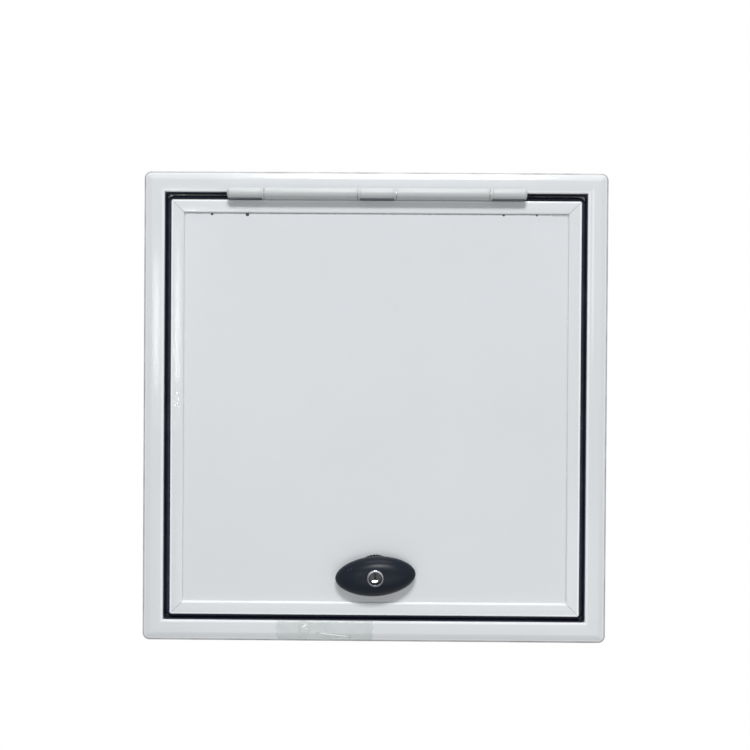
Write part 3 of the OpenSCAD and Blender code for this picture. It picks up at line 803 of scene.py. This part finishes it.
def painted_edge_highlights(tree, place):
    """Painted highlights: paler lines along the door's rounded outer edge and the bottom trim's
    lip.
    """
    edge = ramp(tree, inset_of(tree, place, door_box, DOOR_CORNER_R), 0.0012, 0.002, 1.0, 0.0)
    height = axes(tree, place)["Z"]
    reach = inset_of(tree, place, door_box)
    lip_z = door_box[2] + TRIM_W
    lip = maths(tree, "MULTIPLY", ramp(tree, reach, TRIM_W - 0.0022, TRIM_W - 0.0012),
                ramp(tree, height, lip_z, lip_z + 0.0006, 0.9, 0.0))
    return maths(tree, "MAXIMUM", edge, lip)


def mitre_grime(tree, place):
    """Grey in the four mitres: the two distances from the door's edges are alike there."""
    spot = axes(tree, place)
    apart = []
    for part, low_edge, high_edge in (("X", *door_box[:2]), ("Z", *door_box[2:])):
        off = distance(tree, spot[part], float(low_edge + high_edge) / 2)
        apart.append(maths(tree, "SUBTRACT", float(high_edge - low_edge) / 2, off))
    gap = distance(tree, *apart)
    line = ramp(tree, gap, 0.00015, 0.0006, 0.4, 0.0)
    inner = ramp(tree, apart[0], 0.002, 0.007, 0.3, 1.0)
    return maths(tree, "MULTIPLY", line, inner)


trim_coat = white_coat("trim_coat", (0.75, 0.772, 0.79), 0.11, 2.2, 0.0001, mitre_grime,
                       painted_edge_highlights)
door_lengths = {"bottom": door_w, "top": door_w, "left": door_h, "right": door_h}
for side in SIDES:
    length = member(trim_section, door_lengths[side], DOOR_CORNER_R, MITRE_GAP)
    piece("trim_" + side, [capped(on_side(length, side, door_box))], "door", trim_coat,
          ["trim_" + side])


# Sandwich panel
# Two coated aluminium skins bonded to a rigid foam core. The outer skin is a smooth sheet
# that is never quite flat, with a hole for the lock.
SKIN_T = 0.0008
LOCK_X, LOCK_Z = 0.0015, 0.0497
HOLE_R = 0.0112
WAVE = 0.00012
SIDE_SEAM_TOP, SIDE_SEAM_END = (0.3585, 0.3598), (0.0275, 0.03)
SMEAR_END = (0.149, 0.153)
DABS = ((-0.1415, 0.3603, 0.0015), (-0.1110, 0.3600, 0.0019),
        (0.1099, 0.3606, 0.0014), (0.1385, 0.3606, 0.0012))


def pierced_sheet(box, front, back, hole_r, rings=36):
    """A sheet with a round hole: rays run from the hole's rim at angle a to the edge of the
    box, and share t of a ray is the point between. The front swells by sines that fade out
    towards the rim and the edge."""
    x0, x1, z0, z1 = box
    corner = np.arctan2([z1 - LOCK_Z, z1 - LOCK_Z, z0 - LOCK_Z, z0 - LOCK_Z],
                        [x1 - LOCK_X, x0 - LOCK_X, x0 - LOCK_X, x1 - LOCK_X])
    a = np.unique(np.concatenate([np.linspace(-np.pi, np.pi, 145)[:-1], corner]))
    away = np.stack([np.cos(a), np.sin(a)], 1)
    with np.errstate(divide="ignore"):
        to_x = np.where(away[:, 0] > 0, x1 - LOCK_X, x0 - LOCK_X) / away[:, 0]
        to_z = np.where(away[:, 1] > 0, z1 - LOCK_Z, z0 - LOCK_Z) / away[:, 1]
    reach = np.minimum(np.abs(to_x), np.abs(to_z))
    t = np.linspace(0, 1, rings)[:, None]
    ray = hole_r + t * (reach - hole_r)
    x, z = LOCK_X + ray * away[:, 0], LOCK_Z + ray * away[:, 1]
    swell = np.sin(17 * x + 9 * z) * np.sin(13 * z + 1.1) + 0.5 * np.sin(31 * x - 12 * z)
    near_edge = np.minimum(np.minimum(x - x0, x1 - x), np.minimum(z - z0, z1 - z))
    fade = np.clip(near_edge / 0.02, 0, 1) * np.clip((ray - hole_r - 0.008) / 0.03, 0, 1)
    faces = [np.stack([x, np.full(x.shape, front) - WAVE * swell * fade, z], -1),
             np.stack([x, np.full(x.shape, back), z], -1)]
    return quads(np.concatenate([faces[0], faces[1][::-1]]), True, True)


def seam_grime_and_shade(tree, place):
    """Grime in a thin broken line where the sheet meets the trim, mixed with painted shade
    under the top trim's lip: dark along the top, with a wider smear near its right end,
    faint down the sides, and none along the bottom."""
    near = maths(tree, "SUBTRACT", inset_of(tree, place, door_box), TRIM_W)
    spot = axes(tree, place)
    upper = ramp(tree, spot["Z"], *SIDE_SEAM_TOP, 0.28, 1.0)
    side = maths(tree, "MULTIPLY", upper, ramp(tree, spot["Z"], *SIDE_SEAM_END))
    line = maths(tree, "MULTIPLY", ramp(tree, near, 0.0004, 0.0014, 0.6, 0.0),
                 ramp(tree, noise(tree, place, 260.0, 3.0), 0.3, 0.6, 0.5, 1.0))
    smear = maths(tree, "MULTIPLY", ramp(tree, near, 0.0014, 0.0024, 0.3, 0.0),
                  ramp(tree, spot["X"], *SMEAR_END))
    line = maths(tree, "MAXIMUM", line, maths(tree, "MULTIPLY", smear, ramp(tree, upper, 0.5, 0.9)))
    return maths(tree, "MULTIPLY", line, side)


def dabs(tree, place):
    """Dark dabs of sealant: ragged blots of a few radii round four places on the top seam."""
    ragged = maths(tree, "MULTIPLY", noise(tree, place, 1500.0), 0.0009)
    dark = []
    for x, z, r in DABS:
        off = node(tree, "VectorMath", {0: place, 1: (x, skin_y, z)}, operation="DISTANCE")
        edge = maths(tree, "ADD", off.outputs["Value"], ragged)
        dark.append(ramp(tree, edge, r, r + 0.0003, 1.0, 0.0))
    return folded(tree, "MAXIMUM", dark)


skin_coat = white_coat("skin_coat", (0.735, 0.758, 0.782), 0.36, 4.0, 0.00003, seam_grime_and_shade,
                       spots_and_shade=dabs)
skin_low, skin_high = (np.array(c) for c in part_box("outer_skin"))
skin_box = (skin_low[0], skin_high[0], skin_low[2], skin_high[2])
piece("outer_skin", [pierced_sheet(skin_box, skin_y, skin_y + SKIN_T, HOLE_R)],
      "door", skin_coat, ["outer_skin"])
dress("inner_skin", white_coat("inner_skin_coat", (0.73, 0.75, 0.765), 0.4, 4.0, 0.00003))


def foam(name, colour):
    """Cut rigid foam: open cells half a millimetre across, painted darker in their hollows as
    shade, torn deeper here and there.
    """
    material, tree, place = fresh(name)
    cells = node(tree, "TexVoronoi", {"Vector": place, "Scale": 1900.0}).outputs["Distance"]
    tone = mix(tree, ramp(tree, cells, 0.1, 0.6), shade(0.8, colour), shade(1, colour))
    rough = ramp(tree, noise(tree, place, 300.0), 0.3, 0.7, 0.8, 0.95)
    surfaced(tree, tone, rough, cells, 0.0003, 0.8)
    return material


dress("foam_core", foam("cut_foam", (0.8, 0.74, 0.56)))


# Lock base and gasket
# Round black nylon base with a notched rim, on a thin rubber gasket. Its threaded barrel
# goes through the door and takes a washer and a flat nut behind.
BASE_R = 0.0177
BASE_T = 0.0044
SHOULDER_H, SHOULDER_W = 0.0026, 0.0018
GASKET_T, GASKET_IN = 0.0006, 0.0008
HOUSING_R = 0.011
HOUSING_BACK = -0.0165
STEM_R = 0.008
NOTCHES = 40
NOTCH_DEPTH, NOTCH_IN = 0.0005, 0.0009


def at_lock(grid, tilt=0.0):
    """Stands a form's axis on the door at the lock, its height outwards, turned by a tilt."""
    x = LOCK_X + grid[..., 0] * np.cos(tilt) - grid[..., 1] * np.sin(tilt)
    z = LOCK_Z + grid[..., 0] * np.sin(tilt) + grid[..., 1] * np.cos(tilt)
    return np.stack([x, skin_y - grid[..., 2], z], -1)


def notched(grid, count, depth, from_r):
    """Scallops the rim of a lathe form: radii past from_r shrink by depth times a raised
    cosine of the angle, kept narrow by a power."""
    a = np.arctan2(grid[..., 1], grid[..., 0])
    r = np.hypot(grid[..., 0], grid[..., 1])
    scallop = (0.5 + 0.5 * np.cos(count * a)) ** 2
    cut = np.where(r > from_r, np.minimum(r - from_r, depth) * scallop, 0)
    share = (1 - cut / np.maximum(r, 1e-9))[..., None]
    return np.concatenate([grid[..., :2] * share, grid[..., 2:]], -1)


black_nylon = moulding("black_nylon", (0.006, 0.01, 0.018), 0.3, 0.00002, 1500.0, 0.19)
bore_r = STEM_R + BEARING_GAP
base_line = outline([(bore_r, HOUSING_BACK, 0), (HOUSING_R, HOUSING_BACK, 0.0005),
                     (HOUSING_R, GASKET_T, 0), (BASE_R, GASKET_T, 0.0003),
                     (BASE_R, SHOULDER_H, 0.0005), (BASE_R - SHOULDER_W, BASE_T, 0.0012),
                     (bore_r, BASE_T, 0.0003)])
base_grid = notched(turned(base_line, 8 * NOTCHES), NOTCHES, NOTCH_DEPTH, BASE_R - NOTCH_IN)
piece("lock_base", [quads(at_lock(base_grid), True, True)], "door", black_nylon,
      ["lock_base"])
gasket_r = BASE_R - GASKET_IN
gasket_line = outline([(HOUSING_R, 0, 0), (gasket_r, 0, 0.0002), (gasket_r, GASKET_T, 0.0002),
                       (HOUSING_R, GASKET_T, 0)])
piece("lock_gasket", [quads(at_lock(turned(gasket_line, 96)), True, True)], "door", seal_rubber,
      ["lock_gasket"])


# Turn handle
# Oval satin black nylon handle, a soft dome in front and slacker behind where the fingers
# go, moulded on a round stem that turns in the base.
HANDLE_L, HANDLE_W = 0.0692, 0.0342
HANDLE_TILT = np.radians(4.2)
OVAL_POWER, DOME_POWER, BACK_POWER = 1.9, 2.7, 0.45
FINGER_GAP, BELLY, HANDLE_TOP = 0.005, 0.0072, 0.0194
RING_R, RING_SEAT = 0.00725, HANDLE_TOP - 0.0036
KEY_R = 0.0052
TUCK = 60


def handle_form(sides=144):
    """The handle from its ring seat outwards and round to its back. In front, a point moves
    in share t from the seat's circle to the oval, and its height is the dome of its own share
    s of the oval, belly + rise (1 - s^n)^0.5. Behind, the oval shrinks as a power of cos b."""
    a = np.linspace(0, 2 * np.pi, sides + 1)[:-1]
    turn = np.stack([np.cos(a), np.sin(a)], 1)
    half = np.array([HANDLE_L, HANDLE_W]) / 2
    oval = half * np.sign(turn) * np.abs(turn) ** (2 / OVAL_POWER)
    seat = (RING_R + BEARING_GAP) * turn
    t = np.sin(np.linspace(0, np.pi / 2, 30))[:, None, None]
    flat = seat + t * (oval - seat)
    share = np.sum((np.abs(flat) / half) ** OVAL_POWER, -1) ** (1 / OVAL_POWER)
    dome = BELLY + (HANDLE_TOP - BELLY) * np.sqrt(np.clip(1 - share ** DOME_POWER, 0, 1))
    front = np.concatenate([flat, dome[..., None]], -1)
    b = np.radians(np.linspace(0, TUCK, 14))[1:, None, None]
    height = BELLY - (BELLY - FINGER_GAP) * np.sin(b) / np.sin(np.radians(TUCK))
    back = np.concatenate([np.cos(b) ** BACK_POWER * oval,
                           np.broadcast_to(height, (13, sides, 1))], -1)

    def level(flat_ring, z):
        """A flat ring of points at one height."""
        return np.concatenate([flat_ring, np.full((sides, 1), z)], 1)[None]

    bore = (KEY_R + BEARING_GAP) * turn
    return np.concatenate([level(bore, RING_SEAT), level(seat, RING_SEAT), front, back,
                           level(STEM_R * turn, FINGER_GAP), level(bore, FINGER_GAP)])


piece("turn_handle", [quads(at_lock(handle_form(), HANDLE_TILT), True, True)], "handle",
      black_nylon, ["turn_handle"], crease=38)
dress("handle_stem", black_nylon)


# Key ring and barrel
# A chromed ring pressed in the handle, its grey a painted reflection of a dark room and its
# upper third left bright as a painted highlight, and the lock's key barrel sunk in it. The
# barrel's face is painted dark as shade and dark reflection in its recess, and a small
# bright shutter stands in its keyway.
RING_INNER_R = KEY_R + 0.00025
RING_TOP = HANDLE_TOP + 0.0003
KEY_FACE = HANDLE_TOP - 0.0042


def painted_ring_shade(tree, place):
    """Painted shade on the ring: dull all round but for its upper third, left bright as a painted
    highlight.
    """
    return ramp(tree, axes(tree, place)["Z"],
                LOCK_Z + 0.001, LOCK_Z + 0.006, 1.0, 0.0)


# The chrome's dark grey tone is a painted reflection of a dark room.
chrome = plated("chrome", (0.36, 0.37, 0.41), 0.14, 0.000002, painted_dull=painted_ring_shade)
ring_line = outline([(RING_INNER_R, RING_SEAT, 0), (RING_R, RING_SEAT, 0),
                     (RING_R, RING_TOP, 0.0008), (RING_INNER_R, RING_TOP, 0.0006)], 7)
piece("lock_ring", [quads(at_lock(turned(ring_line, 96)), True, True)], "handle", chrome,
      ["lock_ring"])


def eased_copy(name, body, material, bevel, crease=35):
    """A machined part's own solid with its doubles merged, its flats made whole and its
    sharp edges eased."""
    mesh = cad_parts[name].data.copy()
    work = bmesh.new()
    work.from_mesh(mesh)
    bmesh.ops.remove_doubles(work, verts=work.verts, dist=MERGE)
    bmesh.ops.dissolve_limit(work, angle_limit=np.radians(0.8), verts=work.verts, edges=work.edges)
    work.to_mesh(mesh)
    work.free()
    return finished(name, mesh, body, material, [name], crease, bevel)


# The barrel's face is painted near black as shade and dark reflection in its recess.
barrel_steel = plated("barrel_steel", (0.05, 0.051, 0.055), 0.22, 0.000004, (1.0, 1.0, 0.1))
eased_copy("key_barrel", "key", barrel_steel, 0.0002)
SHUTTER_L, SHUTTER_W = 0.0058, 0.0022
SHUTTER_MIDDLE = (-0.0005, -0.0029)
SHUTTER_LEAN = np.tan(np.radians(24))


def shutter_form(sides=48, rings=8):
    """A lens outline, half the length times cos a by half the width times sin a |sin a|^0.4,
    filled from its middle in share t. Its front leans back upwards at a steady slope."""
    a = np.linspace(0, 2 * np.pi, sides + 1)[:-1]
    t = np.linspace(0, 1, rings)[:, None]
    x = t * SHUTTER_L / 2 * np.cos(a)
    z = t * SHUTTER_W / 2 * np.sin(a) * np.abs(np.sin(a)) ** 0.4
    front = KEY_FACE + 0.0001 + SHUTTER_LEAN * (SHUTTER_W / 2 - z) - 0.00015 * t ** 4
    faces = [np.stack([x + SHUTTER_MIDDLE[0], z + SHUTTER_MIDDLE[1], height + 0 * x], -1)
             for height in (front, KEY_FACE - 0.0002)]
    return np.concatenate([faces[0], faces[1][::-1]])


shutter_steel = plated("shutter_steel", (0.93, 0.94, 0.95), 0.1, 0.000002)
piece("key_shutter", [quads(at_lock(shutter_form()), wrap_b=True)], "key", shutter_steel)


# Nut, washer, cam and its screw
# Zinc plated steel behind the door: a flat nut on a washer clamps the lock, and a cranked
# cam on the stem's square end is held by a pan head screw.
for name, body, ease in (("lock_washer", "door", 0.0002), ("lock_nut", "door", 0.0004),
                         ("lock_cam", "handle", 0.0003), ("cam_screw", "handle", 0.0003)):
    eased_copy(name, body, zinc, ease)


# Clear tape
# A strip of clear tape left on the bottom member, pressed over its slope, with a wrinkle
# and a few bubbles that catch the light, and glints painted whiter along them.
TAPE_X = (-0.0836, -0.0008)
TAPE_U = (0.0012, 0.0177)
TAPE_LIFT, TAPE_T = 0.00006, 0.00004
FOLD_U, FOLD_X, FOLD_LEAN, FOLD_MIDDLE = 0.0073, -0.0493, 0.116, -0.034
FOLD_HALF, FOLD_H, FOLD_T = 0.013, 0.0002, 0.00045
BLOB_X, BLOB_U = -0.0592, 0.0125
BLOB_L, BLOB_W, BLOB_H = 0.0042, 0.0034, 0.00025


def tape_sheet(columns=150, rows=60):
    """The strip follows the flange: u runs across it and x along it. The height is the
    flange's own, plus a lift, plus one long wrinkle exp(-(d / width)^2), d being the distance
    from its slanting line, plus a cluster of short bubbles from sines."""
    x = np.linspace(*TAPE_X, columns)[:, None]
    u = np.linspace(*TAPE_U, rows)[None, :]
    front_y = np.interp(u, front_line[:, 0], front_line[:, 1])
    from_line = u - (FOLD_U - FOLD_LEAN * (x - FOLD_X))
    along = np.exp(-((x - FOLD_MIDDLE) / FOLD_HALF) ** 4)
    ridge = FOLD_H * np.exp(-(from_line / FOLD_T) ** 2) * along
    cluster = np.exp(-((x - BLOB_X) / BLOB_L) ** 2 - ((u - BLOB_U) / BLOB_W) ** 2)
    ridge = ridge + BLOB_H * cluster * (1 + np.sin(1900 * u + 900 * x) * np.sin(1300 * x)) / 2
    y = front_y - TAPE_LIFT - ridge
    ragged = 0.0004 * np.sin(900 * u) * np.linspace(1, -1, columns)[:, None] ** 3
    return np.stack([x + ragged, y + 0 * x, frame_box[2] + u + 0 * x], -1)


tape_film, tree, place = fresh("clear_tape")
tape_z = float(frame_box[2])
patch = ramp(tree, noise(tree, place, 60.0), 0.4, 0.65, 0.13, 0.2)
spot = axes(tree, place)
across = maths(tree, "SUBTRACT", spot["Z"], tape_z + FOLD_U + FOLD_LEAN * FOLD_X)
off_line = maths(tree, "ABSOLUTE", maths(tree, "MULTIPLY_ADD", spot["X"], FOLD_LEAN, across))
middle = distance(tree, spot["X"], FOLD_MIDDLE)
fold_glint = maths(tree, "MULTIPLY", ramp(tree, off_line, 0.0004, 0.0012, 0.9, 0.0),
                ramp(tree, middle, 0.01, 0.016, 1.0, 0.0))
off_blob = node(tree, "VectorMath", {0: place, 1: (BLOB_X, -CROWN, tape_z + BLOB_U)},
                operation="DISTANCE").outputs["Value"]
slanted = node(tree, "Mapping", {"Vector": place, "Rotation": (0.0, -0.9, 0.0),
                                 "Scale": (260.0, 400.0, 900.0)}).outputs[0]
glint_streaks = ramp(tree, noise(tree, slanted, 1.0), 0.45, 0.62)
blob = maths(tree, "MULTIPLY", ramp(tree, off_blob, 0.0015, 0.0065), -1.0)
# Painted glints: the film is painted whiter and more opaque along the wrinkle and in streaks round
# the bubbles.
painted_tape_glints = maths(tree, "MAXIMUM", fold_glint,
                     maths(tree, "MULTIPLY", glint_streaks, maths(tree, "ADD", blob, 1.0)))
patch = maths(tree, "MULTIPLY_ADD", painted_tape_glints, 0.8, patch, clamp=True)
film_tone = mix(tree, painted_tape_glints, (0.7, 0.76, 0.74, 1), (0.98, 0.985, 0.985, 1))
surfaced(tree, film_tone, 0.1, noise(tree, place, 420.0), 0.0001, 0.4, Alpha=patch)
tape = piece("clear_tape", [quads(tape_sheet())], "surround", tape_film, crease=60)
thick = tape.modifiers.new("thickness", "SOLIDIFY")
thick.thickness, thick.offset = TAPE_T, 0.0
